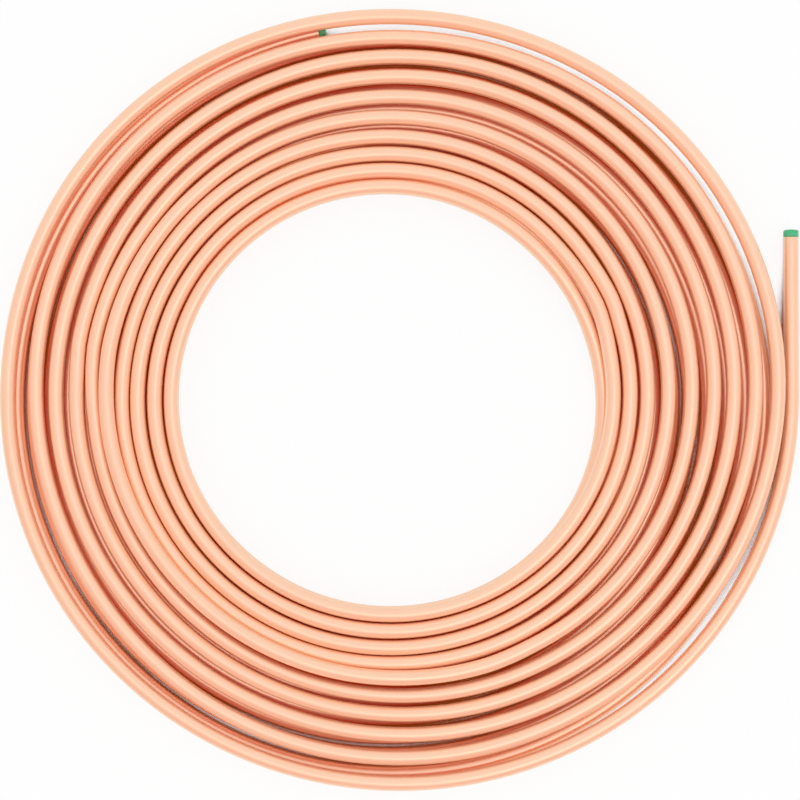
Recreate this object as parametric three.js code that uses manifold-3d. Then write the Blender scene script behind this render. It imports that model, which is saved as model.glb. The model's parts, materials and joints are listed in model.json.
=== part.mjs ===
// A pancake coil of soft copper refrigeration tube, lying flat, with a plastic plug in each end.
// Millimetres, +Z up. The origin is on the floor, under the middle of the coil's outline.
//
// The coil is one length of tube. From its tail it winds clockwise (seen from above) inwards
// through the upper layer, dives at the eye, and winds clockwise outwards again through the
// lower layer to an end that is tucked between the outer turns.
//
// A place on the winding is given as `wound`, the turns wound since the tail, or within a layer
// as `out`, the turns outwards from the eye.

import * as THREE from 'three';
import { mergeVertices } from 'three/addons/utils/BufferGeometryUtils.js';
import Module from 'manifold-3d';

// --- Tube ---------------------------------------------------------------------------------
const tubeDiameter = 6.35;
const tubeWall = 0.762;
const tubeSides = 8;
const stepsPerTurn = 32;

// --- Winding ------------------------------------------------------------------------------
const turnClearance = 0.3;
const layerClearance = 0.3;
const eyeRadius = 84.4;
const lowerEyeStep = 0.72;
const upperTurns = 9.86;
const lowerTurns = 9.69;

// A loose coil's turns lie this much further apart than they must, and each layer opens up
// towards its rim as a power of the number of turns.
const upperEase = 0.25;
const lowerEase = 0.68;
const looseningPower = 3;
const upperLoosening = 0.011;
const lowerLoosening = 0.0013;

// Lying loose, the outer turns have slid to one side of the eye and sagged slightly oval.
const upperSlump = 5.6;
const upperSlumpBearing = 27.5;
const upperSlumpStart = 2.55;
const upperSlumpFull = 6.18;
const lowerSlump = 3.95;
const lowerSlumpBearing = -41.7;
const ovalAtEye = 0.57;
const upperOvalPerTurn = 0.08;

// The rim turns come part of the way back, and bow between three high points.
const rimReturn = 2.15;
const rimReturnStart = 8.4;
const rimBow = 0.97;
const rimBowBearing = 15;
const rimBowStart = 7.6;
const rimBowFull = 8.2;
const rimBowFade = 9.23;
const rimBowEnd = 9.45;

// One turn of the upper layer has been squeezed up onto its inner neighbour.
const climbTurn = 4.5;
const climbSpan = 0.34;
const climbRise = 5.4;
const climbSlide = 2.3;

// At the eye the tube swings outwards as it dives, to pass under the turn beside it.
const diveTurns = 0.17;
const swingTurns = 0.25;
const swingBackTurns = 0.35;
const swingReach = 3.2;

// --- Ends of the tube -----------------------------------------------------------------------
const tailLength = 67.2;
const tailSteps = 3;
const tailDropTurns = 0.2;
const tailOpening = 1.25;
const tailOpeningTurns = 0.4;
const tuckedTurns = 0.12;
const tuckedInset = 1.5;
const boreDepth = 12;

// --- End plugs ------------------------------------------------------------------------------
const plugHeadDiameter = 6.5;
const plugHeadLength = 2.9;
const plugEdgeRadius = 0.9;
const plugStemLength = 9;
const plugClearance = 0.3;
const plugFloorClearance = 0.2;
const plugSegments = 16;

// --- Sizes that follow ----------------------------------------------------------------------
const tubeRadius = tubeDiameter / 2;
const boreDiameter = tubeDiameter - 2 * tubeWall;
const tightSpacing = tubeDiameter + turnClearance;
const upperSpacing = tightSpacing + upperEase;
const lowerSpacing = tightSpacing + lowerEase;
const lowerHeight = tubeRadius;
const upperHeight = lowerHeight + tubeDiameter + layerClearance;
const plugHeight = plugHeadDiameter / 2 + plugFloorClearance;
const diveEnd = upperTurns + diveTurns;
const windingEnd = diveEnd + lowerTurns;
const upperEye = eyeRadius + tubeRadius;
const lowerEye = upperEye + lowerEyeStep;
const tailDropArc = 2 * Math.PI * tailDropTurns * (upperEye + upperTurns * upperSpacing);

const degrees = (angle) => THREE.MathUtils.degToRad(angle);
const ramp = (from, to, value) => THREE.MathUtils.smoothstep(value, from, to);

/** Compass bearing, in radians anticlockwise from +X, after so many clockwise turns. */
function bearingAt(wound) {
  return -2 * Math.PI * wound;
}

/** Radius of a turn that nothing squeezes, slid towards a bearing and sagged oval. */
function looseRadius(opened, bearing, slump, slumpBearing, oval) {
  const slid = slump * Math.cos(bearing - degrees(slumpBearing));
  return opened + slid + oval * Math.cos(2 * bearing);
}

/** How far out a section must lie from one that is so much higher or lower, flat to flat. */
function reach(rise) {
  const height = Math.abs(rise);
  if (height >= tightSpacing) {
    return 0;
  }
  let nearest = tightSpacing;
  for (let flat = 1; flat < tubeSides / 4; flat += 1) {
    const angle = flat * 2 * Math.PI / tubeSides;
    nearest = Math.min(nearest, (tightSpacing - height * Math.sin(angle)) / Math.cos(angle));
  }
  return nearest;
}

/** The loose radius, or more where the turn just inside pushes it out. */
function settledRadius(loose, wound, woundInside) {
  const rise = heightAt(woundInside) - heightAt(wound);
  return Math.max(loose, radiusAt(woundInside) + reach(rise));
}

/** 1 at the middle of the climb, and 0 where the turn lies in its layer again. */
function climbed(wound) {
  const fromClimb = Math.min(Math.abs(upperTurns - wound - climbTurn) / climbSpan, 1);
  return Math.cos(fromClimb * Math.PI / 2) ** 2;
}

function upperRadius(wound) {
  const out = upperTurns - wound;
  const bearing = bearingAt(wound);
  const slid = upperSlump * ramp(upperSlumpStart, upperSlumpFull, out);
  const back = rimReturn * Math.max(out - rimReturnStart, 0) ** 2;
  const bowed = ramp(rimBowStart, rimBowFull, out) - ramp(rimBowFade, rimBowEnd, out);
  const bow = rimBow * bowed * Math.cos(3 * (bearing - degrees(rimBowBearing)));
  const oval = ovalAtEye + upperOvalPerTurn * out;
  const sprung = tailOpening * (1 - ramp(0, tailOpeningTurns, wound));
  const opened = upperEye + upperSpacing * out + upperLoosening * out ** looseningPower + sprung;
  const sagged = looseRadius(opened, bearing, slid - back, upperSlumpBearing, oval) + bow;
  const loose = sagged - climbSlide * climbed(wound);
  return wound + 1 > diveEnd ? loose : settledRadius(loose, wound, wound + 1);
}

/** From 0 to 1 over the last stretch of the lower layer, whose end is tucked under the rim. */
function tucked(wound) {
  return ramp(windingEnd - tuckedTurns, windingEnd, wound);
}

function lowerRadius(wound) {
  const out = wound - diveEnd;
  const slid = lowerSlump * out / lowerTurns;
  const inset = tuckedInset * tucked(wound);
  const opened = lowerEye + lowerSpacing * out + lowerLoosening * out ** looseningPower - inset;
  const loose = looseRadius(opened, bearingAt(wound), slid, lowerSlumpBearing, ovalAtEye);
  return wound - 1 < upperTurns ? loose : settledRadius(loose, wound, wound - 1);
}

function radiusAt(wound) {
  if (wound <= upperTurns) {
    return upperRadius(wound);
  }
  const swungOut = ramp(0, swingTurns, wound - upperTurns);
  const swungBack = ramp(swingTurns, swingTurns + swingBackTurns, wound - upperTurns);
  const swing = swingReach * (swungOut - swungBack);
  if (wound >= diveEnd) {
    return lowerRadius(wound) + swing;
  }
  const into = (wound - upperTurns) / diveTurns;
  return THREE.MathUtils.lerp(upperRadius(upperTurns), lowerRadius(diveEnd), into) + swing;
}

/** Height of the centre line near the tail's end, which sags until its plug nears the floor. */
function tailHeight(fromPlug) {
  const risen = ramp(0, tailLength + tailDropArc, fromPlug);
  return THREE.MathUtils.lerp(plugHeight, upperHeight, risen);
}

/** Height of the centre line, `wound` turns from the start of the tail. */
function heightAt(wound) {
  if (wound < tailDropTurns) {
    return tailHeight(tailLength + tailDropArc * wound / tailDropTurns);
  }
  if (wound <= upperTurns) {
    return upperHeight + climbRise * climbed(wound);
  }
  const dived = THREE.MathUtils.lerp(upperHeight, lowerHeight, ramp(upperTurns, diveEnd, wound));
  return dived + (plugHeight - lowerHeight) * tucked(wound);
}

function pointOnWinding(wound) {
  const bearing = bearingAt(wound);
  const radius = radiusAt(wound);
  return new THREE.Vector3(radius * Math.cos(bearing), radius * Math.sin(bearing), heightAt(wound));
}

/** A point of the tail, which leaves the winding square to its radius and runs straight. */
function pointOnTail(fromWinding) {
  return new THREE.Vector3(radiusAt(0), fromWinding, tailHeight(tailLength - fromWinding));
}

/**
 * Centre line of the whole tube, plug end of the tail first. Its stations are evenly spaced in
 * winding angle, so that the facets of neighbouring turns lie parallel. Each section is square
 * to the line through the stations on either side, and level, so that it never twists.
 */
class CoilPath extends THREE.Curve {
  constructor() {
    super();
    this.windingSteps = Math.round(windingEnd * stepsPerTurn);
    this.steps = tailSteps + this.windingSteps;
  }

  getPoint(t) {
    const station = t * this.steps - tailSteps;
    if (station < 0) {
      return pointOnTail(-station / tailSteps * tailLength);
    }
    return pointOnWinding(Math.min(station / this.windingSteps, 1) * windingEnd);
  }

  getUtoTmapping(u) {
    return u;
  }

  computeFrenetFrames(segments) {
    const up = new THREE.Vector3(0, 0, 1);
    const stations = this.getPoints(segments);
    const tangents = stations.map((station, i) => {
      const before = stations[Math.max(i - 1, 0)];
      const after = stations[Math.min(i + 1, segments)];
      return after.clone().sub(before).normalize();
    });
    const normals = tangents.map((tangent) => up.clone().cross(tangent).normalize());
    const binormals = tangents.map((tangent, i) => tangent.clone().cross(normals[i]));
    return { tangents, normals, binormals };
  }
}

/** Octagon whose flats are the tube's diameter apart, two of them level. */
function tubeSection() {
  const shape = new THREE.Shape();
  const cornerRadius = tubeRadius / Math.cos(Math.PI / tubeSides);
  for (let i = 0; i < tubeSides; i += 1) {
    const angle = (i + 0.5) * 2 * Math.PI / tubeSides;
    const corner = [cornerRadius * Math.cos(angle), cornerRadius * Math.sin(angle)];
    if (i === 0) {
      shape.moveTo(...corner);
    } else {
      shape.lineTo(...corner);
    }
  }
  shape.closePath();
  return shape;
}

/** A geometry's closed surface, ready for cutting. */
function toSolid(wasm, geometry) {
  const bare = geometry.index ? geometry.toNonIndexed() : geometry.clone();
  bare.deleteAttribute('normal');
  bare.deleteAttribute('uv');
  const merged = mergeVertices(bare, 1e-4);
  const mesh = new wasm.Mesh({
    numProp: 3,
    vertProperties: new Float32Array(merged.attributes.position.array),
    triVerts: new Uint32Array(merged.index.array),
  });
  return new wasm.Manifold(mesh);
}

function toGeometry(solid) {
  const mesh = solid.getMesh();
  const geometry = new THREE.BufferGeometry();
  geometry.setAttribute('position', new THREE.BufferAttribute(mesh.vertProperties, mesh.numProp));
  geometry.setIndex(new THREE.BufferAttribute(mesh.triVerts, 1));
  geometry.computeVertexNormals();
  return geometry;
}

/** The two ends of the tube: where each is, and which way its last straight step points. */
function tubeEnds(path) {
  const endFrom = (inside, at) => ({ at, outwards: at.clone().sub(inside).normalize() });
  return {
    tail: endFrom(path.getPoint(1 / path.steps), path.getPoint(0)),
    tucked: endFrom(path.getPoint(1 - 1 / path.steps), path.getPoint(1)),
  };
}

/** Puts an object that was made about the Y axis on the tube's axis at one end. */
function turnToFace(object, end) {
  object.position.copy(end.at);
  object.quaternion.setFromUnitVectors(new THREE.Vector3(0, 1, 0), end.outwards);
}

/** Drill that opens the bore at one end, long enough to run out past the end face. */
function boreDrill(end) {
  const overrun = tubeDiameter;
  const drill = new THREE.CylinderGeometry(
    boreDiameter / 2, boreDiameter / 2, boreDepth + overrun, plugSegments,
  );
  drill.translate(0, (overrun - boreDepth) / 2, 0);
  const place = new THREE.Object3D();
  turnToFace(place, end);
  place.updateMatrix();
  return drill.applyMatrix4(place.matrix);
}

function copperTube(wasm, path, ends) {
  const swept = new THREE.ExtrudeGeometry(tubeSection(), {
    steps: path.steps,
    extrudePath: path,
    bevelEnabled: false,
  });
  let solid = toSolid(wasm, swept);
  for (const end of Object.values(ends)) {
    solid = solid.subtract(toSolid(wasm, boreDrill(end)));
  }
  const copper = new THREE.MeshStandardMaterial({
    color: 0xf4b08c,
    roughness: 0.32,
    metalness: 1,
  });
  const mesh = new THREE.Mesh(toGeometry(solid), copper);
  mesh.name = 'copper_tube';
  return mesh;
}

/** Plug with its stem in the bore and its round-edged head against the end of the tube. */
function endPlug(name, end) {
  const stemRadius = boreDiameter / 2 - plugClearance;
  const headRadius = plugHeadDiameter / 2;
  const face = plugClearance + plugHeadLength;
  const profile = new THREE.Path();
  profile.moveTo(0, -plugStemLength);
  profile.lineTo(stemRadius, -plugStemLength);
  profile.lineTo(stemRadius, plugClearance);
  profile.lineTo(headRadius, plugClearance);
  profile.lineTo(headRadius, face - plugEdgeRadius);
  profile.absarc(headRadius - plugEdgeRadius, face - plugEdgeRadius, plugEdgeRadius, 0, Math.PI / 2);
  profile.lineTo(0, face);
  const green = new THREE.MeshStandardMaterial({
    color: 0x5ab886,
    roughness: 0.45,
    metalness: 0,
  });
  const mesh = new THREE.Mesh(new THREE.LatheGeometry(profile.getPoints(2), plugSegments), green);
  mesh.name = name;
  turnToFace(mesh, end);
  return mesh;
}

const wasm = await Module();
wasm.setup();

const coilPath = new CoilPath();
const ends = tubeEnds(coilPath);
const aboutEye = new THREE.Group();
aboutEye.add(copperTube(wasm, coilPath, ends));
aboutEye.add(endPlug('tail_end_plug', ends.tail));
aboutEye.add(endPlug('tucked_end_plug', ends.tucked));

const outline = new THREE.Box3().setFromObject(aboutEye, true);
const middle = outline.getCenter(new THREE.Vector3());
aboutEye.position.set(-middle.x, -middle.y, -outline.min.z);

const coil = new THREE.Group();
coil.add(aboutEye);

export default coil;
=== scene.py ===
# %% [markdown]
# # A coil of soft copper tube
# The object is one 50 ft length of 1/4 inch refrigeration tube, wound flat in two layers, with a
# green plastic plug in each end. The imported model, called the frame, says how big it is and where
# it lies. This lesson dresses that frame: it winds a round tube along the same path, turns two
# plugs, and gives them bright copper and moulded plastic.

import json

import bpy
import numpy as np
from mathutils import Vector
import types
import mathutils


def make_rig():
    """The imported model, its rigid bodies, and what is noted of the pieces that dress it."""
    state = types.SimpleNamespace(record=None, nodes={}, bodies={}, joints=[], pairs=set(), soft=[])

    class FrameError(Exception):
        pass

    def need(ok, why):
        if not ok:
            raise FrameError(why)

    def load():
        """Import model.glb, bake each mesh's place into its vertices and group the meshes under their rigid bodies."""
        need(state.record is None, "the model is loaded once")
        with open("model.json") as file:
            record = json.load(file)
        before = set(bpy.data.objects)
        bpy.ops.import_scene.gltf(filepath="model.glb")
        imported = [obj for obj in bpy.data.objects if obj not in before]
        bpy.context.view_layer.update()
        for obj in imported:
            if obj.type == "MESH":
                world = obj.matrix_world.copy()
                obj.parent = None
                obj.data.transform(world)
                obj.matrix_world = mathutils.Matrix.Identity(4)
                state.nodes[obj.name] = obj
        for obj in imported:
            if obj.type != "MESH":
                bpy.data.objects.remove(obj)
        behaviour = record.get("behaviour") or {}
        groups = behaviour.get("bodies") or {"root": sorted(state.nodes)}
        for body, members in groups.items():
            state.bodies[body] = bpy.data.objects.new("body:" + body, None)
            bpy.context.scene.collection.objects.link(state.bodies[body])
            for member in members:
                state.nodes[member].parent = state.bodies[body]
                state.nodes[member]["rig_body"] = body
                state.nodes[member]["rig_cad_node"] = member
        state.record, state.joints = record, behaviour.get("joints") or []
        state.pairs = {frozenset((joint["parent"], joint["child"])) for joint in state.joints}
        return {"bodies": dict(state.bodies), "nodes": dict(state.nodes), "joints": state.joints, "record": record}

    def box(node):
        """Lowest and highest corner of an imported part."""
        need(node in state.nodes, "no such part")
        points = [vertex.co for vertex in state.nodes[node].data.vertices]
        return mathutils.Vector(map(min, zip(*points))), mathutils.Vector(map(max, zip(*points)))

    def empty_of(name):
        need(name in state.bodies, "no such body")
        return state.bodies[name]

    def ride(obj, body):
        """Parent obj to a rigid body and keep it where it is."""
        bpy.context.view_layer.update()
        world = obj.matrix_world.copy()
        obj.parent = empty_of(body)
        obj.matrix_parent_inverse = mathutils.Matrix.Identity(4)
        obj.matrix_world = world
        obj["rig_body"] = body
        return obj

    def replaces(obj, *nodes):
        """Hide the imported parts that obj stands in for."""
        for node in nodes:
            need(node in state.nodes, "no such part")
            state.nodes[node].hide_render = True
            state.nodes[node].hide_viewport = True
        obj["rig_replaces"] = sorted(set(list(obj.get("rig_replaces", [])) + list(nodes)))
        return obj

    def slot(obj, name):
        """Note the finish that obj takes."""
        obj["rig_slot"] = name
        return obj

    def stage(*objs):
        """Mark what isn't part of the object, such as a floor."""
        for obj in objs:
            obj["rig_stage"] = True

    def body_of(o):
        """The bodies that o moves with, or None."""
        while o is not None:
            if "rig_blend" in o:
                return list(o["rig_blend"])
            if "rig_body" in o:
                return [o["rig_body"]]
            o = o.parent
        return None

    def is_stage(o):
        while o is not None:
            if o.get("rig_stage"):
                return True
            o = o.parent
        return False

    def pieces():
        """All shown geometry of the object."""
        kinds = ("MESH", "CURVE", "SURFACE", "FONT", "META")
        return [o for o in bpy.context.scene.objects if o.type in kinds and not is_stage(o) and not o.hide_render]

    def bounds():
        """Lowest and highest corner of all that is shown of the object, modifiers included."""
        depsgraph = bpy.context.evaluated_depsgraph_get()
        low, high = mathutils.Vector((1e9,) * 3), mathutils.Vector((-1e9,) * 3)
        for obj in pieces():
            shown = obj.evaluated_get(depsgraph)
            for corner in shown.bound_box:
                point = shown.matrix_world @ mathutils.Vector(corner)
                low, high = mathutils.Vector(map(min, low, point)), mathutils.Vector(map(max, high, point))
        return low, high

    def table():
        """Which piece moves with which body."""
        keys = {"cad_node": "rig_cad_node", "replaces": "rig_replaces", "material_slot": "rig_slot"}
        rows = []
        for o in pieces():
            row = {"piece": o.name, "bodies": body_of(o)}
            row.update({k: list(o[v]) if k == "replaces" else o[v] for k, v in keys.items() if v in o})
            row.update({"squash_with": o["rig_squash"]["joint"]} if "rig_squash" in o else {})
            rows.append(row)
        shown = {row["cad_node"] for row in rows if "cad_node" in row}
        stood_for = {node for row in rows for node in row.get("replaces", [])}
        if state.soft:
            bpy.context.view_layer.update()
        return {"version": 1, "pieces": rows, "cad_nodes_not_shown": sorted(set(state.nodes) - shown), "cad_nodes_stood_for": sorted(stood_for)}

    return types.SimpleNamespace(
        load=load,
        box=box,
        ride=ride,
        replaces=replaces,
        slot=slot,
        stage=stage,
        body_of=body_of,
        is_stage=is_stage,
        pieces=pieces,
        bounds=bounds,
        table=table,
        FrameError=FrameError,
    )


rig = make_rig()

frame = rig.load()
cad_box = [list(corner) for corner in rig.bounds()]
MM = 0.001
print("frame nodes:", sorted(frame["nodes"]))

# %% [markdown]
# ## The sizes of the winding
# A pancake coil is wound on a flat former, and nothing in it is a perfect circle once it is taken
# off: the turns spring apart, slide and sag. It could be drawn as a traced curve, but the turns
# would then cross or leave each other where the trace is a little off. Here the shape comes from a
# few sizes that a coil winder would use, the same ones that the frame was built from, in
# millimetres. `wound` counts turns from the tail inwards and `out` counts turns from the eye.

# %% Sizes of the tube and its winding
TUBE_DIAMETER = 6.35
TUBE_WALL = 0.762
CLEARANCE = 0.3
UPPER_EASE, LOWER_EASE = 0.25, 0.68
EYE_RADIUS, LOWER_EYE_STEP = 84.4, 0.72
TIGHT_SPACING = TUBE_DIAMETER + CLEARANCE
UPPER_SPACING = TIGHT_SPACING + UPPER_EASE
LOWER_SPACING = TIGHT_SPACING + LOWER_EASE
LOWER_HEIGHT = TUBE_DIAMETER / 2
UPPER_HEIGHT = LOWER_HEIGHT + TUBE_DIAMETER + CLEARANCE
UPPER_EYE = EYE_RADIUS + TUBE_DIAMETER / 2
LOWER_EYE = UPPER_EYE + LOWER_EYE_STEP
UPPER_TURNS = 9.86
CLIMB_TURN = 4.5
CLIMB_SPAN = 0.34
CLIMB_RISE = 5.4
CLIMB_SLIDE = 2.3
DIVE_TURNS = 0.17
LOWER_TURNS = 9.69
DIVE_END = UPPER_TURNS + DIVE_TURNS
WINDING_END = DIVE_END + LOWER_TURNS
TAIL_LENGTH = 67.2
TAIL_DROP_TURNS = 0.2
TAIL_DROP_ARC = 2 * np.pi * TAIL_DROP_TURNS * (UPPER_EYE + UPPER_TURNS * UPPER_SPACING)
PLUG_DIAMETER = 6.5
HEAD_LENGTH = 2.9
STEM_LENGTH = 9.0
FLOOR_CLEARANCE = 0.2
PLUG_HEIGHT = PLUG_DIAMETER / 2 + FLOOR_CLEARANCE
TUCKED_TURNS = 0.12
print(f"{WINDING_END:.2f} turns, {UPPER_TURNS} above and {LOWER_TURNS} below")

# %% [markdown]
# ## How high each part of the tube lies
# The upper layer lies on the lower one, so its centre line is one diameter higher. Four places
# leave these two levels: the tail sags almost to the floor, one turn rides up onto its neighbour,
# the tube dives from layer to layer at the eye, and its far end is lifted a little by its plug.
# Each is a smooth step between two heights, worked out for all stations of the path at once.

# %% Height of the centre line


def ramp(start, end, value):
    """Smooth step: x clipped to 0..1 between start and end, then 3x squared less 2x cubed."""
    x = np.clip((value - start) / (end - start), 0, 1)
    return x * x * (3 - 2 * x)


def tail_height(from_plug):
    """Height near the tail's end: a smooth step from the plug's height to the upper layer's."""
    risen = ramp(0, TAIL_LENGTH + TAIL_DROP_ARC, from_plug)
    return PLUG_HEIGHT + (UPPER_HEIGHT - PLUG_HEIGHT) * risen


def climbed(wound):
    """1 at the middle of the climb and 0 at both its ends: a cosine squared."""
    from_climb = np.clip(abs(UPPER_TURNS - wound - CLIMB_TURN) / CLIMB_SPAN, 0, 1)
    return np.cos(from_climb * np.pi / 2) ** 2


def height_at(wound):
    """Height of every station: a level layer, plus the climb, the dive and the two ends."""
    upper = UPPER_HEIGHT + CLIMB_RISE * climbed(wound)
    tail = tail_height(TAIL_LENGTH + TAIL_DROP_ARC * wound / TAIL_DROP_TURNS)
    dive = UPPER_HEIGHT + (LOWER_HEIGHT - UPPER_HEIGHT) * ramp(UPPER_TURNS, DIVE_END, wound)
    lifted = (PLUG_HEIGHT - LOWER_HEIGHT) * ramp(WINDING_END - TUCKED_TURNS, WINDING_END, wound)
    above = np.where(wound < TAIL_DROP_TURNS, tail, upper)
    return np.where(wound <= UPPER_TURNS, above, dive + lifted)


# %% [markdown]
# ## How far out each turn lies
# Left to itself a turn would lie on a spiral that opens towards the rim, slid a few millimetres to
# one side and slightly oval. That is its loose radius. But it can't lie inside the turn that it is
# wound round, so it settles at whichever is further out: its loose radius, or one spacing outside
# its inner neighbour. Where a turn has climbed, it needs less room sideways. The rule needs the
# inner turn first, so each layer is settled one whole turn at a time, from the eye outwards.

# %% Loose radius of both layers
UPPER_LOOSENING, LOWER_LOOSENING = 0.011, 0.0013
UPPER_SLUMP, UPPER_SLUMP_BEARING, UPPER_SLUMP_OVER = 5.6, 27.5, (2.55, 6.18)
LOWER_SLUMP, LOWER_SLUMP_BEARING = 3.95, -41.7
OVAL_AT_EYE, UPPER_OVAL_PER_TURN = 0.57, 0.08
RIM_RETURN, RIM_RETURN_START = 2.15, 8.4
RIM_BOW, RIM_BOW_BEARING = 0.97, 15
RIM_BOW_GROWS, RIM_BOW_FADES = (7.6, 8.2), (9.23, 9.45)
TAIL_OPENING, TAIL_OPENING_TURNS = 1.25, 0.4
TUCKED_INSET = 1.5


def loose_radius(opened, bearing, slump, slump_bearing, oval):
    """Opened radius, plus a slide towards one bearing (a cosine of the angle from it) and an oval
    sag (a cosine of twice the bearing)."""
    slid = slump * np.cos(bearing - np.radians(slump_bearing))
    return opened + slid + oval * np.cos(2 * bearing)


def upper_loose(wound):
    """The upper layer opens by a spacing a turn, plus a cube of the turns, plus the tail's spring.
    Its rim comes part of the way back from its slide, and bows between three high points. The
    turn that has climbed slides inwards, over its neighbour."""
    out, bearing = UPPER_TURNS - wound, -2 * np.pi * wound
    sprung = TAIL_OPENING * (1 - ramp(0, TAIL_OPENING_TURNS, wound))
    opened = UPPER_EYE + UPPER_SPACING * out + UPPER_LOOSENING * out**3 + sprung
    back = RIM_RETURN * np.maximum(out - RIM_RETURN_START, 0) ** 2
    slump = UPPER_SLUMP * ramp(*UPPER_SLUMP_OVER, out) - back
    bowed = ramp(*RIM_BOW_GROWS, out) - ramp(*RIM_BOW_FADES, out)
    bow = RIM_BOW * bowed * np.cos(3 * (bearing - np.radians(RIM_BOW_BEARING)))
    oval = OVAL_AT_EYE + UPPER_OVAL_PER_TURN * out
    sagged = loose_radius(opened, bearing, slump, UPPER_SLUMP_BEARING, oval) + bow
    return sagged - CLIMB_SLIDE * climbed(wound)


def lower_loose(wound):
    """The lower layer opens in the same way, with its last stretch tucked in under the rim."""
    out, bearing = wound - DIVE_END, -2 * np.pi * wound
    inset = TUCKED_INSET * ramp(WINDING_END - TUCKED_TURNS, WINDING_END, wound)
    opened = LOWER_EYE + LOWER_SPACING * out + LOWER_LOOSENING * out**3 - inset
    slump = LOWER_SLUMP * out / LOWER_TURNS
    return loose_radius(opened, bearing, slump, LOWER_SLUMP_BEARING, OVAL_AT_EYE)


# %% Settle each turn against the one inside it
STEPS = 150
SWING_REACH, SWING_TURNS, SWING_BACK_TURNS = 3.2, 0.25, 0.35
ROUNDING = 1e-9


def reach(rise):
    """Room a turn needs beside one that is `rise` higher: a full spacing while they are level,
    less past 22.5 degrees, and none once one is clear above the other."""
    rise = abs(rise)
    leaning = np.sqrt(2) * TIGHT_SPACING - rise
    return np.where(rise >= TIGHT_SPACING, 0, np.minimum(TIGHT_SPACING, leaning))


def swing_at(wound):
    """How far the diving tube swings outwards, and back, to pass under the turn beside it."""
    dived = wound - UPPER_TURNS
    back = ramp(SWING_TURNS, SWING_TURNS + SWING_BACK_TURNS, dived)
    return SWING_REACH * (ramp(0, SWING_TURNS, dived) - back)


def settle(radius, height, loose, here, inside, holds):
    """The further out of a turn's loose radius and its inner neighbour's radius plus its reach."""
    pushed = radius[inside] + reach(height[inside] - height[here])
    return np.where(holds, np.maximum(loose[here], pushed), loose[here])


def wind(wound):
    """Radius of every station: the dive first, then both layers settled turn by turn."""
    height, swing = height_at(wound), swing_at(wound)
    upper, lower = upper_loose(wound), lower_loose(wound)
    into = np.clip((wound - UPPER_TURNS) / DIVE_TURNS, 0, 1)
    start, end = upper_loose(np.array(UPPER_TURNS)), lower_loose(np.array(DIVE_END))
    radius = start + (end - start) * into + swing
    edge = int(np.searchsorted(wound, UPPER_TURNS + ROUNDING))
    for top in range(edge, 0, -STEPS):
        here = np.arange(max(top - STEPS, 0), top)
        holds = wound[here] + 1 <= DIVE_END + ROUNDING
        radius[here] = settle(radius, height, upper, here, here + STEPS, holds)
    first = int(np.searchsorted(wound, DIVE_END - ROUNDING))
    for bottom in range(first, len(wound), STEPS):
        here = np.arange(bottom, min(bottom + STEPS, len(wound)))
        holds = wound[here] - 1 >= UPPER_TURNS - ROUNDING
        radius[here] = settle(radius, height, lower, here, here - STEPS, holds) + swing[here]
    return radius, height


wound = np.arange(round(WINDING_END * STEPS) + 1) / STEPS
radius, height = wind(wound)
print(f"centre line {radius.min():.1f} to {radius.max():.1f} mm from the middle of the eye")

# %% [markdown]
# ## The whole centre line
# The tail leaves the winding square to its radius and runs straight, down to its plug. The path is
# then moved from the middle of the eye to its place in the frame. The frame's own tail plug says
# where that is: its middle lies a known way from the eye, along the tail, because its stem is in
# the tube and its head stands a little off the tube's end.

# %% Centre line in the frame, in millimetres
TAIL_STEPS = 14
FRAME_HEAD_SEAT = 0.3


def centre_line():
    """Stations of the tail, then of the winding at radius times cosine and sine of the bearing."""
    along = TAIL_LENGTH * (1 - np.arange(TAIL_STEPS) / TAIL_STEPS)
    tail = np.stack([radius[0] + 0 * along, along, tail_height(TAIL_LENGTH - along)], 1)
    bearing = -2 * np.pi * wound
    coil = np.stack([radius * np.cos(bearing), radius * np.sin(bearing), height], 1)
    return np.concatenate([tail, coil])


def eye_in_frame():
    """Where the eye's middle is: the tail plug's middle, less its place on the tail."""
    low, high = (np.array(corner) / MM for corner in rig.box("tail_end_plug"))
    plug_middle_along_tail = TAIL_LENGTH + (FRAME_HEAD_SEAT + HEAD_LENGTH - STEM_LENGTH) / 2
    return (low + high)[:2] / 2 - [radius[0], plug_middle_along_tail]


path = centre_line()
eye = eye_in_frame()
path[:, :2] += eye
tube_length = np.linalg.norm(np.diff(path, axis=0), axis=1).sum()
print(f"the eye is at {eye.round(1)} mm; the tube is {tube_length / 1000:.2f} m long")

# %% [markdown]
# ## Carrying the section along the path
# A tube is a round section carried along a line. A Blender curve with a bevel would do it, but its
# ends could not be bored and deburred, and it gives no place for a pattern that follows the tube.
# Here each row of a grid is one ring: its place along the path, its radius, and its own frame of
# two directions square to the path, one of them kept level so that the tube never twists. The
# extra rows at both ends go round the deburred edge and back down the bore.

# %% Rings for the tube and its two bored ends
SIDES = 28
TUBE_RADIUS = TUBE_DIAMETER / 2
BORE_RADIUS = TUBE_RADIUS - TUBE_WALL
BORE_DEPTH = 12.0
LIP_ROUND = 0.25
FLOOR_RING_SHARE = 0.4


def frames_along(points):
    """Unit tangent from the neighbours on both sides, a level side square to it, and their
    cross product, which points up."""
    tangent = np.gradient(points, axis=0)
    tangent /= np.linalg.norm(tangent, axis=1)[:, None]
    side = np.cross([0.0, 0.0, 1.0], tangent)
    side /= np.linalg.norm(side, axis=1)[:, None]
    return tangent, side, np.cross(tangent, side)


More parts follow.
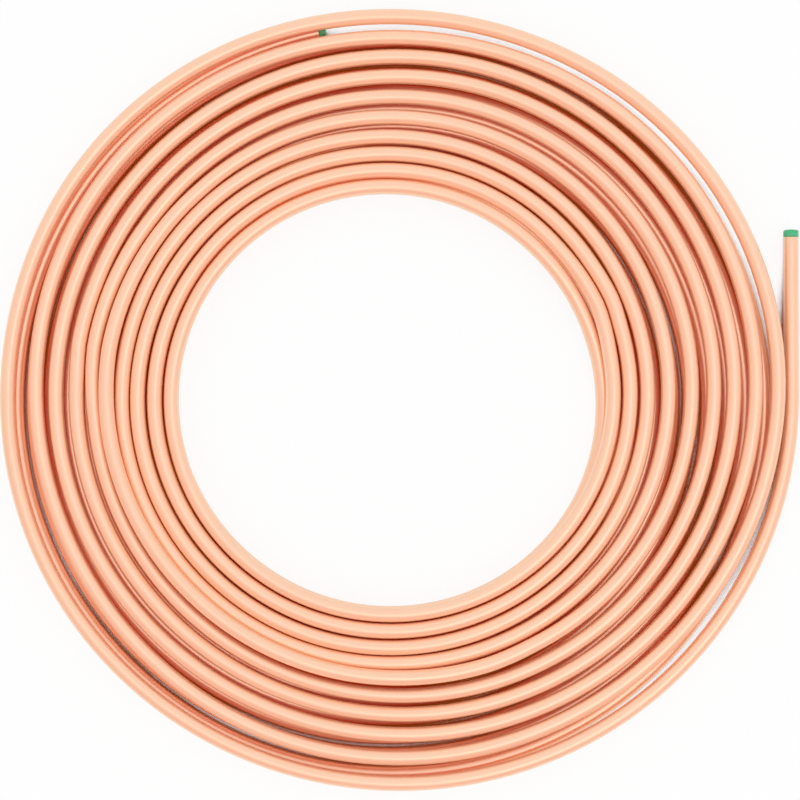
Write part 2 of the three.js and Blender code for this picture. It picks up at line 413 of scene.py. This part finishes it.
def bored_end():
    """Ring radius and depth inwards from the end face, from the bore's floor to the outside."""
    round_off = np.radians([0, 30, 60, 90])
    lip_radius = TUBE_RADIUS - LIP_ROUND + LIP_ROUND * np.sin(round_off)
    lip_depth = LIP_ROUND - LIP_ROUND * np.cos(round_off)
    bore = [FLOOR_RING_SHARE * BORE_RADIUS, BORE_RADIUS, BORE_RADIUS, BORE_RADIUS]
    radii = np.concatenate([bore, lip_radius])
    depth = np.concatenate([[BORE_DEPTH, BORE_DEPTH, 2 * LIP_ROUND, 0], lip_depth])
    return radii, depth


def with_ends(rows):
    """One row for every ring: the first and last stations' rows serve their whole bored end."""
    rings = len(bored_end()[0])
    return np.concatenate([np.repeat(rows[:1], rings, 0), rows[1:-1], np.repeat(rows[-1:], rings, 0)])


def tube_rings(points):
    """Centres, directions, radii and lengths along the tube of all rings, one row for each."""
    tangent, side, lift = frames_along(points)
    radii, depth = bored_end()
    at = np.concatenate([
        points[:1] + depth[:, None] * tangent[0],
        points[1:-1],
        points[-1:] - depth[::-1, None] * tangent[-1],
    ])
    ring_radius = np.concatenate([radii, np.full(len(points) - 2, TUBE_RADIUS), radii[::-1]])
    run = np.concatenate([[0], np.cumsum(np.linalg.norm(np.diff(points, axis=0), axis=1))])
    length = np.concatenate([depth, run[1:-1], run[-1] - depth[::-1]])
    return at, with_ends(side), with_ends(lift), ring_radius, length


# %% [markdown]
# ## How much sky each side of a turn sees
# The turns shade each other, and that shade is painted into the copper's colour in the grooves
# between them. To find those grooves, each point of the section looks out over its own half
# circle, in the plane across the coil, and counts how much of it the nearest turns leave open. The
# ambient occlusion node could do the same while the picture is made, but it is grainy and slow on a mirror that is met
# many times.

# %% Sky share of every point of the section
LOOKS, WIDEST_LOOK = 25, 84
NEAREST_TURNS, MOST_TURNS_AWAY = 8, 20
FAR_AWAY = 1000.0


def steps_to_nearest():
    """Steps outwards and upwards from each station to the nearest turns on the same bearing."""
    here = np.arange(len(radius))[:, None]
    turns = np.arange(-MOST_TURNS_AWAY, MOST_TURNS_AWAY + 1)
    there = here + STEPS * turns[turns != 0]
    missing = (there < 0) | (there >= len(radius))
    there = np.clip(there, 0, len(radius) - 1)
    step = np.stack([radius[there] - radius[here], height[there] - height[here]], -1)
    step[missing] = FAR_AWAY
    order = np.argsort((step**2).sum(-1), 1)[:, :NEAREST_TURNS, None]
    return np.take_along_axis(step, order, 1)


def sky_share():
    """Each look leaves its point at an angle from the normal and is closed where a turn ahead is
    nearer to the line of sight than its own radius. Looks count by the cosine of that angle. The
    white floor closes none, and the straight tail sees everything."""
    around = 2 * np.pi * np.arange(SIDES) / SIDES
    point = TUBE_RADIUS * np.stack([np.cos(around), np.sin(around)], -1)
    towards = steps_to_nearest()[:, None] - point[:, None]
    angles = np.radians(np.linspace(-WIDEST_LOOK, WIDEST_LOOK, LOOKS))
    opened = np.zeros(towards.shape[:2])
    for angle in angles:
        sight = np.stack([np.cos(around + angle), np.sin(around + angle)], -1)
        ahead = (towards * sight[:, None]).sum(-1)
        aside = (towards**2).sum(-1) - ahead**2
        closed = ((ahead > 0) & (aside < TUBE_RADIUS**2)).any(-1)
        opened += np.cos(angle) * ~closed
    return np.concatenate([np.ones((TAIL_STEPS, SIDES)), opened / np.cos(angles).sum()])


sky = sky_share()
print(f"sky share from {sky.min():.2f} to {sky.max():.2f}, median {np.median(sky):.2f}")

# %% [markdown]
# ## From rings to a mesh
# The rings are a grid of points that is open at its two ends and closed the other way round. Its
# faces join each ring to the next, and one flat face closes each end. One function makes every
# such mesh in this lesson, because a turned plug is a grid of the same kind.

# %% A mesh from a grid of rings


def ring_mesh(name, grid, straight):
    """Quads between ring i and ring i + 1, side j and side j + 1 (the last side meets the first),
    with a flat face on the first and last ring. `straight` is stored as an attribute: where each
    point would be if the piece were straight, in millimetres, for patterns to follow."""
    rings, sides = grid.shape[:2]
    i, j = np.meshgrid(np.arange(rings - 1), np.arange(sides), indexing="ij")
    k = (j + 1) % sides
    corner = [i * sides + j, i * sides + k, (i + 1) * sides + k, (i + 1) * sides + j]
    quads = np.stack(corner, -1).reshape(-1, 4)
    caps = [list(range(sides))[::-1], list(range((rings - 1) * sides, rings * sides))]
    mesh = bpy.data.meshes.new(name)
    mesh.from_pydata((grid.reshape(-1, 3) * MM).tolist(), [], quads.tolist() + caps)
    place = mesh.attributes.new("straight", "FLOAT_VECTOR", "POINT")
    place.data.foreach_set("vector", straight.reshape(-1).astype(np.float32))
    mesh.polygons.foreach_set("use_smooth", np.ones(len(mesh.polygons), bool))
    mesh.update()
    piece = bpy.data.objects.new(name, mesh)
    bpy.context.scene.collection.objects.link(piece)
    return piece


def volume_of(piece):
    """Enclosed volume: over all triangles, a sixth of corner a times the cross of b and c. It is
    positive only where the faces point outwards."""
    mesh = piece.data
    mesh.calc_loop_triangles()
    corners = np.empty(len(mesh.loop_triangles) * 3, int)
    mesh.loop_triangles.foreach_get("vertices", corners)
    points = np.empty(len(mesh.vertices) * 3)
    mesh.vertices.foreach_get("co", points)
    a, b, c = points.reshape(-1, 3)[corners].reshape(-1, 3, 3).transpose(1, 0, 2)
    return np.einsum("ij,ij->i", a, np.cross(b, c)).sum() / 6


# %% Wind the tube


def wind_tube(name, points):
    """Each ring point is centre + radius (cos a x side + sin a x lift), a going once round."""
    at, side, lift, ring_radius, length = tube_rings(points)
    a = 2 * np.pi * np.arange(SIDES) / SIDES
    across = ring_radius[:, None] * np.cos(a)
    upward = ring_radius[:, None] * np.sin(a)
    grid = at[:, None] + across[..., None] * side[:, None] + upward[..., None] * lift[:, None]
    straight = np.stack([np.repeat(length[:, None], SIDES, 1), across, upward], -1)
    piece = ring_mesh(name, grid, straight)
    shares = piece.data.attributes.new("sky_share", "FLOAT", "POINT")
    shares.data.foreach_set("value", with_ends(sky).reshape(-1).astype(np.float32))
    return piece


tube = wind_tube("wound_copper_tube", path)
print(f"{tube.name}: {len(tube.data.polygons)} faces, {volume_of(tube) * 1e6:.1f} cm3")

# %% [markdown]
# ## The plugs
# A tube end is closed with a small injection-moulded plug, so that no dirt or damp gets in. Its
# ribbed stem grips the bore and its round-edged head covers the end. It is turned here as a
# profile, a list of radii and heights with arcs for its rounded edges, carried round the tube's
# axis. A shallow dimple in the face is where the plastic was fed in, and a fine raised line round
# the head is where the two halves of the mould met.

# %% Profile of a plug
PLUG_SIDES = 48
HEAD_RADIUS = PLUG_DIAMETER / 2
HEAD_SEAT = 0.12
UNDER_ROUND, SHOULDER_ROUND = 0.25, 0.9
PARTING_HEIGHT, PARTING_RISE = 1.35, 0.05
STEM_RADIUS = BORE_RADIUS - 0.1
RIB_HEIGHT, RIB_SPACING = 0.22, 2.7


def arc(middle_radius, middle_height, size, start, end, points):
    """Points at equal angles, in degrees, on an arc of a profile."""
    angle = np.radians(np.linspace(start, end, points))
    return np.stack([middle_radius + size * np.cos(angle), middle_height + size * np.sin(angle)], 1)


def ribbed_stem():
    """Stem radius against height: a plain core with three soft ribs, each a raised cosine."""
    rise = np.linspace(-STEM_LENGTH + 0.4, -0.6, 61)
    ribs = np.maximum(np.cos(2 * np.pi * (rise - rise[0]) / RIB_SPACING), 0)
    return np.stack([STEM_RADIUS - RIB_HEIGHT + RIB_HEIGHT * ribs**2, rise], 1)


def plug_profile():
    """Radius and height from the stem's tip to the middle of the face, heights from the tube."""
    top, wall = HEAD_SEAT + HEAD_LENGTH, HEAD_RADIUS - PARTING_RISE
    tip = np.array([[0.25, -STEM_LENGTH], [1.2, -STEM_LENGTH], [1.9, -STEM_LENGTH + 0.1]])
    neck = np.array([[STEM_RADIUS - RIB_HEIGHT, -0.5], [STEM_RADIUS - RIB_HEIGHT, HEAD_SEAT]])
    under = arc(wall - UNDER_ROUND, HEAD_SEAT + UNDER_ROUND, UNDER_ROUND, -90, 0, 5)
    parting = np.array([[0, -0.12], [0.01, -0.05], [PARTING_RISE, 0], [0.01, 0.05], [0, 0.12]])
    parting += [wall, HEAD_SEAT + PARTING_HEIGHT]
    shoulder = arc(wall - SHOULDER_ROUND, top - SHOULDER_ROUND, SHOULDER_ROUND, 0, 90, 10)
    face = np.array([[1.6, top], [1.25, top], [0.95, top - 0.06], [0.6, top - 0.2], [0.25, top - 0.24]])
    return np.concatenate([tip, ribbed_stem(), neck, under, parting, shoulder, face])


profile = plug_profile()
print(f"plug profile: {len(profile)} points, {2 * profile[:, 0].max():.1f} mm across")

# %% Turn a plug onto each end of the tube


def turn_plug(name, end, outwards, turned):
    """Carries the profile round an axis: point = end + height x axis + radius x (cos a x side +
    sin a x up), and the flat coordinates keep the plug's own axis as their first one."""
    axis = outwards / np.linalg.norm(outwards)
    side = np.cross([0.0, 0.0, 1.0], axis)
    side /= np.linalg.norm(side)
    up = np.cross(axis, side)
    a = np.radians(turned) + 2 * np.pi * np.arange(PLUG_SIDES) / PLUG_SIDES
    across = profile[:, :1] * np.cos(a)
    upward = profile[:, :1] * np.sin(a)
    rise = np.repeat(profile[:, 1:], PLUG_SIDES, 1)
    grid = end + rise[..., None] * axis + across[..., None] * side + upward[..., None] * up
    return ring_mesh(name, grid, np.stack([rise, across, upward], -1))


tail_plug = turn_plug("tail_plug", path[0], path[0] - path[1], 0)
tucked_plug = turn_plug("tucked_plug", path[-1], path[-1] - path[-2], 20)
for plug in (tail_plug, tucked_plug):
    print(f"{plug.name}: {len(plug.data.polygons)} faces, {volume_of(plug) * 1e9:.0f} mm3")

# %% [markdown]
# ## Two helpers for materials
# Colours are written as the sRGB hex values that a paint program shows, and Blender mixes in
# linear light, so one function turns the first into the second. The other adds a node, sets its
# sockets and properties, and links what is passed as a socket.

# %% Colour and node helpers


def linear(hex_colour):
    """sRGB hex to linear RGBA: c / 12.92 below 0.04045, else ((c + 0.055) / 1.055) to the 2.4."""
    srgb = np.array([int(hex_colour[i:i + 2], 16) for i in (1, 3, 5)]) / 255
    rgb = np.where(srgb <= 0.04045, srgb / 12.92, ((srgb + 0.055) / 1.055) ** 2.4)
    return (*rgb.tolist(), 1.0)


def add(tree, kind, sockets=None, **settings):
    """A node of this kind, with its properties set and its sockets given a value or a link."""
    node = tree.nodes.new(kind)
    for name, value in settings.items():
        setattr(node, name, value)
    for key, value in (sockets or {}).items():
        socket = node.inputs[key]
        if isinstance(value, bpy.types.NodeSocket):
            tree.links.new(value, socket)
        else:
            socket.default_value = value
    return node


def new_material(name):
    """An empty node material and its tree."""
    material = bpy.data.materials.new(name)
    material.use_nodes = True
    material.node_tree.nodes.clear()
    return material, material.node_tree


# %% [markdown]
# ## Bright drawn copper
# The tube was drawn through a die and bright-annealed. Its skin is a pale, warm salmon with a
# satin gloss, and much of what the eye sees in it is its surroundings. Polished copper would be
# fully metallic, with a reflectance of about 0.95, 0.64 and 0.54. This skin has a thin tarnish
# that scatters some of the light, so a third of the shader is left to plain colour, and that
# keeps the flanks bright that see little but their neighbours. The colour is a little yellower,
# about 0.97, 0.67 and 0.47. In the grooves between the turns the colour is a painted shade, a
# deep orange: the sky share says where they are. The rest is drawing and handling: fine lines
# that run the whole length of the tube, faint cloudy bands from the annealing, and small dull
# specks. They follow the tube by its straight coordinates, long one way and fine the other.

# %% Copper material
# Drawing lines are a few hundredths of a millimetre apart. These are coarse enough to show.
LINES = {"along": 90.0, "across": 0.55}
BANDS = {"along": 26.0, "across": 7.0}
SPECKS = {"along": 2.2, "across": 1.1}
COPPER, PALER_COPPER, DULLED_COPPER = "#FCD6B7", "#FED9BB", "#F4CAAC"
# Painted shade: up to this sky share, the copper is coloured deep orange in the grooves between turns.
GROOVE_PAINTED_SHADE, PAINTED_SHADE_UP_TO_SKY = "#F48420", 0.20
SMOOTH, SATIN, SPECK_DULLING = 0.28, 0.36, 0.04
METALLIC, TARNISH_GLOSS = 0.65, 0.2
LINE_STRENGTH, LINE_DEPTH = 0.25, 0.012
NOISE_LOW, NOISE_HIGH = 0.3, 0.7
SPECK_LOW, SPECK_HIGH = 0.66, 0.80


def per_mm(along, across):
    """Scale of a pattern: one over its size in millimetres, along the piece and across it."""
    return (1 / along, 1 / across, 1 / across)


def drawn_copper():
    """Colour = a painted groove shade, deep orange, where little sky is seen, else copper to paler
    copper by the bands, with dulled specks. Roughness = smooth to satin by the bands, plus the specks' dulling."""
    material, tree = new_material("bright_drawn_copper")
    straight = add(tree, "ShaderNodeAttribute", attribute_name="straight").outputs["Vector"]
    lines_at = add(tree, "ShaderNodeMapping", {"Vector": straight, "Scale": per_mm(**LINES)})
    lines = add(tree, "ShaderNodeTexNoise", {
        "Vector": lines_at.outputs["Vector"],
        "Scale": 1.0, "Detail": 3.0, "Roughness": 0.55}).outputs["Fac"]
    bands_at = add(tree, "ShaderNodeMapping", {"Vector": straight, "Scale": per_mm(**BANDS)})
    bands = add(tree, "ShaderNodeTexNoise", {
        "Vector": bands_at.outputs["Vector"],
        "Scale": 1.0, "Detail": 4.0, "Roughness": 0.6}).outputs["Fac"]
    specks_at = add(tree, "ShaderNodeMapping", {"Vector": straight, "Scale": per_mm(**SPECKS)})
    specks = add(tree, "ShaderNodeTexNoise", {
        "Vector": specks_at.outputs["Vector"],
        "Scale": 1.0, "Detail": 2.0, "Roughness": 0.7}).outputs["Fac"]
    dull = add(tree, "ShaderNodeMapRange", {
        "Value": specks, "From Min": SPECK_LOW, "From Max": SPECK_HIGH}).outputs["Result"]
    hue = add(tree, "ShaderNodeMapRange", {
        "Value": bands, "From Min": NOISE_LOW, "From Max": NOISE_HIGH}).outputs["Result"]
    annealed = add(tree, "ShaderNodeMix", {
        "Factor": hue, 6: linear(COPPER), 7: linear(PALER_COPPER)}, data_type="RGBA").outputs[2]
    worn = add(tree, "ShaderNodeMix", {
        "Factor": dull, 6: annealed, 7: linear(DULLED_COPPER)}, data_type="RGBA").outputs[2]
    sky_seen = add(tree, "ShaderNodeAttribute", attribute_name="sky_share").outputs["Fac"]
    # Painted shade in the grooves: where the sky share is low, the colour goes to the deep orange.
    opened = add(tree, "ShaderNodeMapRange", {
        "Value": sky_seen, "From Min": 0.0, "From Max": PAINTED_SHADE_UP_TO_SKY}).outputs["Result"]
    colour = add(tree, "ShaderNodeMix", {
        "Factor": opened, 6: linear(GROOVE_PAINTED_SHADE), 7: worn}, data_type="RGBA").outputs[2]
    smooth = add(tree, "ShaderNodeMapRange", {
        "Value": bands, "From Min": NOISE_LOW, "From Max": NOISE_HIGH,
        "To Min": SMOOTH, "To Max": SATIN}).outputs["Result"]
    roughness = add(tree, "ShaderNodeMath", {
        0: dull, 1: SPECK_DULLING, 2: smooth}, operation="MULTIPLY_ADD").outputs["Value"]
    scored = add(tree, "ShaderNodeBump", {
        "Height": lines, "Strength": LINE_STRENGTH, "Distance": LINE_DEPTH * MM}).outputs["Normal"]
    shader = add(tree, "ShaderNodeBsdfPrincipled", {
        "Base Color": colour, "Metallic": METALLIC, "Specular IOR Level": TARNISH_GLOSS,
        "Roughness": roughness, "Normal": scored})
    add(tree, "ShaderNodeOutputMaterial", {"Surface": shader.outputs["BSDF"]})
    return material


tube.data.materials.append(drawn_copper())
print("copper:", len(tube.data.materials[0].node_tree.nodes), "nodes")

# %% [markdown]
# ## Green polyethylene
# The plugs are injection-moulded polyethylene: soft, waxy and slightly see-through, so light
# spreads a little way inside and the edges look paler than the middle. Typical values are an IOR
# of 1.51 and a satin roughness of about 0.4. Moulding leaves a faint orange-peel on the skin, a
# third of a millimetre across, and cloudy swirls of pigment about two millimetres long.

# %% Plastic material
SWIRLS = {"along": 2.5, "across": 1.6}
PEEL = {"along": 0.35, "across": 0.35}
GREEN, PALER_GREEN = "#3EAE78", "#4FC58C"
WAXY, WAXY_DULL = 0.34, 0.46
POLYETHYLENE_IOR = 1.51
LIGHT_SHARE, LIGHT_SPREAD = 0.25, 1.2
PEEL_STRENGTH, PEEL_DEPTH = 0.3, 0.02


def moulded_polyethylene():
    """Colour and roughness both follow the swirls, and the orange-peel is a bump."""
    material, tree = new_material("green_moulded_polyethylene")
    straight = add(tree, "ShaderNodeAttribute", attribute_name="straight").outputs["Vector"]
    swirl_at = add(tree, "ShaderNodeMapping", {"Vector": straight, "Scale": per_mm(**SWIRLS)})
    swirl = add(tree, "ShaderNodeTexNoise", {
        "Vector": swirl_at.outputs["Vector"], "Scale": 1.0, "Detail": 4.0,
        "Distortion": 0.8}).outputs["Fac"]
    peel_at = add(tree, "ShaderNodeMapping", {"Vector": straight, "Scale": per_mm(**PEEL)})
    peel = add(tree, "ShaderNodeTexNoise", {
        "Vector": peel_at.outputs["Vector"], "Scale": 1.0, "Detail": 2.0}).outputs["Fac"]
    tone = add(tree, "ShaderNodeMapRange", {
        "Value": swirl, "From Min": NOISE_LOW, "From Max": NOISE_HIGH}).outputs["Result"]
    colour = add(tree, "ShaderNodeMix", {
        "Factor": tone, 6: linear(GREEN), 7: linear(PALER_GREEN)}, data_type="RGBA").outputs[2]
    roughness = add(tree, "ShaderNodeMapRange", {
        "Value": swirl, "To Min": WAXY, "To Max": WAXY_DULL}).outputs["Result"]
    skin = add(tree, "ShaderNodeBump", {
        "Height": peel, "Strength": PEEL_STRENGTH, "Distance": PEEL_DEPTH * MM}).outputs["Normal"]
    shader = add(tree, "ShaderNodeBsdfPrincipled", {
        "Base Color": colour, "Roughness": roughness, "IOR": POLYETHYLENE_IOR, "Normal": skin,
        "Subsurface Weight": LIGHT_SHARE, "Subsurface Scale": LIGHT_SPREAD * MM,
        "Subsurface Radius": (0.5, 1.0, 0.7)})
    add(tree, "ShaderNodeOutputMaterial", {"Surface": shader.outputs["BSDF"]})
    return material


plastic = moulded_polyethylene()
for plug in (tail_plug, tucked_plug):
    plug.data.materials.append(plastic)

# %% [markdown]
# ## Pieces and what they stand for
# Each piece rides on the frame's one body, stands for its node, and names the finish it has in
# the record.

# %% Tie the pieces to the frame
for piece, node, slot in (
    (tube, "copper_tube", "drawn_copper"),
    (tail_plug, "tail_end_plug", "green_plastic"),
    (tucked_plug, "tucked_end_plug", "green_plastic"),
):
    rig.ride(piece, "root")
    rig.replaces(piece, node)
    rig.slot(piece, slot)
print("pieces:", [piece["piece"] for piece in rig.table()["pieces"]])

# %% [markdown]
# ## A white floor
# The coil lies on a wide pale floor. Where the floor is open it is as white as the background, and
# close to the coil it keeps a soft shadow. In the narrow gaps between the turns it is painted a
# dark brown shade, because little light gets down there and all of it comes off copper. How much sky each
# spot sees is worked out by the ambient occlusion node, which looks up from the floor for
# anything within a few centimetres.

# %% Floor
FLOOR_HALF = 3.0
FLOOR_GAP = 0.05
FLOOR_PAINT = "#FAFAFA"
WHITE_SEEN, WHITE_MIRRORED = 0.85, 0.35
LOOK_DISTANCE = 40.0
DEEP_SKY, OPEN_SKY = 0.21, 0.26
# Painted shade: in the gaps under the coil, the floor's glow and paint are given this dark brown.
PAINTED_GAP_SHADE_BROWN, PLAIN_WHITE = "#84380C", "#FFFFFF"


def white_share(tree):
    """How much of the floor shows as plain white: one share for camera and transmission rays,
    a smaller one for glossy rays, and none for the rays that only carry light."""
    rays = add(tree, "ShaderNodeLightPath")
    looked_at = add(tree, "ShaderNodeMath", {
        0: rays.outputs["Is Camera Ray"], 1: rays.outputs["Is Transmission Ray"]},
        operation="MAXIMUM").outputs["Value"]
    mirrored = add(tree, "ShaderNodeMath", {
        0: rays.outputs["Is Glossy Ray"], 1: WHITE_MIRRORED}, operation="MULTIPLY").outputs["Value"]
    return add(tree, "ShaderNodeMath", {0: looked_at, 1: WHITE_SEEN, 2: mirrored},
               operation="MULTIPLY_ADD").outputs["Value"]


def white_floor():
    """Matt paint that keeps the shadow, mixed with a glow in the share that white_share gives.
    Both are white on open floor and a painted dark brown shade where little sky is seen."""
    material, tree = new_material("white_studio_floor")
    sky_seen = add(tree, "ShaderNodeAmbientOcclusion", {"Distance": LOOK_DISTANCE * MM}).outputs["AO"]
    opened = add(tree, "ShaderNodeMapRange", {
        "Value": sky_seen, "From Min": DEEP_SKY, "From Max": OPEN_SKY}).outputs["Result"]
    # Painted shade: glow and paint both turn dark brown where the floor sees little sky.
    glow = add(tree, "ShaderNodeMix", {
        "Factor": opened, 6: linear(PAINTED_GAP_SHADE_BROWN), 7: linear(PLAIN_WHITE)},
        data_type="RGBA").outputs[2]
    paint = add(tree, "ShaderNodeMix", {
        "Factor": opened, 6: linear(PAINTED_GAP_SHADE_BROWN), 7: linear(FLOOR_PAINT)},
        data_type="RGBA").outputs[2]
    shaded = add(tree, "ShaderNodeBsdfDiffuse", {"Color": paint}).outputs["BSDF"]
    white = add(tree, "ShaderNodeEmission", {"Color": glow, "Strength": 1.0}).outputs["Emission"]
    mixed = add(tree, "ShaderNodeMixShader", {
        0: white_share(tree), 1: shaded, 2: white}).outputs["Shader"]
    add(tree, "ShaderNodeOutputMaterial", {"Surface": mixed})
    return material


corners = [(-1, -1), (1, -1), (1, 1), (-1, 1)]
floor_mesh = bpy.data.meshes.new("floor")
floor_mesh.from_pydata([(x * FLOOR_HALF, y * FLOOR_HALF, -FLOOR_GAP * MM) for x, y in corners],
                       [], [(0, 1, 2, 3)])
floor_mesh.materials.append(white_floor())
floor = bpy.data.objects.new("floor", floor_mesh)
bpy.context.scene.collection.objects.link(floor)
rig.stage(floor)

# %% [markdown]
# ## Soft studio light
# Bright metal shows what is around it, so it is lit like jewellery, inside a white tent. What it
# mirrors from above is almost white. Low down on the near side the tent opens on a warm, darker
# room, and that is what gives each turn a shaded side. A broad softbox hangs a little to the near
# right and lays a soft cream stripe along the crown of every turn.

# %% World and softbox
SKY_LEVEL = 0.95
TENT_WHITE, TENT_PALE, ROOM_WARM = "#FFFFFF", "#FFF1F1", "#F6BEB4"
TENT_LEVEL, TENT_SLOPE = 0.3, (0.1, 0.8, 0.6)
KEY_TOWARDS, KEY_DISTANCE, KEY_SIZE, KEY_RADIANCE = (0.20, -0.24, 0.9), 2.6, 1.6, 0.7


def white_tent():
    """Camera rays see white, and light rays a plain grey white. Mirrored rays see a mix of warm
    room and pale tent: the tent's share is its level plus the dot product of its slope with the
    ray's direction, clipped to 0..1."""
    world = bpy.data.worlds.new("white_tent")
    world.use_nodes = True
    tree = world.node_tree
    tree.nodes.clear()
    toward = add(tree, "ShaderNodeTexCoord").outputs["Generated"]
    slope = add(tree, "ShaderNodeVectorMath", {0: toward, 1: TENT_SLOPE},
                operation="DOT_PRODUCT").outputs["Value"]
    inside = add(tree, "ShaderNodeMath", {0: slope, 1: TENT_LEVEL}, operation="ADD",
                 use_clamp=True).outputs["Value"]
    mirrored = add(tree, "ShaderNodeMix", {
        "Factor": inside, 6: linear(ROOM_WARM), 7: linear(TENT_PALE)},
        data_type="RGBA").outputs[2]
    rays = add(tree, "ShaderNodeLightPath")
    plain = (SKY_LEVEL, SKY_LEVEL, SKY_LEVEL, 1)
    lit = add(tree, "ShaderNodeMix", {
        "Factor": rays.outputs["Is Glossy Ray"], 6: plain, 7: mirrored},
        data_type="RGBA").outputs[2]
    through = add(tree, "ShaderNodeMath", {
        0: rays.outputs["Is Camera Ray"], 1: rays.outputs["Is Transmission Ray"]},
        operation="MAXIMUM").outputs["Value"]
    seen = add(tree, "ShaderNodeMix", {
        "Factor": through, 6: lit, 7: linear(TENT_WHITE)}, data_type="RGBA").outputs[2]
    background = add(tree, "ShaderNodeBackground", {"Color": seen, "Strength": 1.0})
    add(tree, "ShaderNodeOutputWorld", {"Surface": background.outputs["Background"]})
    return world


def hang_softbox(name, towards, distance, size, radiance):
    """A round lamp that faces the coil. Its power is radiance times pi squared times the square
    of its own radius."""
    lamp = bpy.data.lights.new(name, "AREA")
    lamp.shape = "DISK"
    lamp.size = size
    lamp.energy = radiance * np.pi**2 * (size / 2) ** 2
    softbox = bpy.data.objects.new(name, lamp)
    from_coil = Vector(towards).normalized()
    softbox.location = from_coil * distance
    softbox.rotation_euler = from_coil.to_track_quat("Z", "Y").to_euler()
    bpy.context.scene.collection.objects.link(softbox)
    lean = np.degrees(np.arccos(from_coil.z))
    print(f"{name}: {lean:.0f} degrees from overhead, {lamp.energy:.2f} W")


bpy.context.scene.world = white_tent()
hang_softbox("key_softbox", KEY_TOWARDS, KEY_DISTANCE, KEY_SIZE, KEY_RADIANCE)

# %% [markdown]
# ## Camera
# The coil is seen from straight above, with the tail to the right and its plug pointing up. The
# view is a little off the eye's middle, so that the tail and the rim just fit. Light goes to and
# fro between neighbouring turns many times before it leaves a groove, and is redder each time, so
# mirrored rays are followed through twelve reflections. Cycles can blur such reflections to save
# time, with its setting Filter Glossy. Between turns that mirror each other that loses light, so
# it is switched off here.

# %% Camera
VIEW_HEIGHT = 800.0
VIEW_WIDTH = 334.4
VIEW_OFF_EYE = (4.96, -1.42)
SENSOR_WIDTH = 36.0
REFLECTIONS = 12

camera_data = bpy.data.cameras.new("camera")
camera_data.sensor_width = SENSOR_WIDTH
camera_data.lens = SENSOR_WIDTH * VIEW_HEIGHT / VIEW_WIDTH
camera = bpy.data.objects.new("camera", camera_data)
camera.location = Vector((*(eye + VIEW_OFF_EYE), UPPER_HEIGHT + VIEW_HEIGHT)) * MM
bpy.context.scene.collection.objects.link(camera)
bpy.context.scene.camera = camera
bpy.context.scene.view_settings.view_transform = "Standard"
bpy.context.scene.cycles.glossy_bounces = REFLECTIONS
bpy.context.scene.cycles.blur_glossy = 0.0
print(f"camera {VIEW_HEIGHT:.0f} mm above the upper layer, lens {camera_data.lens:.1f} mm")

# %% [markdown]
# ## Sizes before and after
# The dressed model has to stay inside the frame's box, so both boxes are written down.

# %% Write the sizes and finish
visual_box = [list(corner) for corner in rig.bounds()]
json.dump({"cad": cad_box, "visual": visual_box}, open("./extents.json", "w"))
print("frame box", np.round(cad_box, 4).tolist(), "dressed box", np.round(visual_box, 4).tolist())
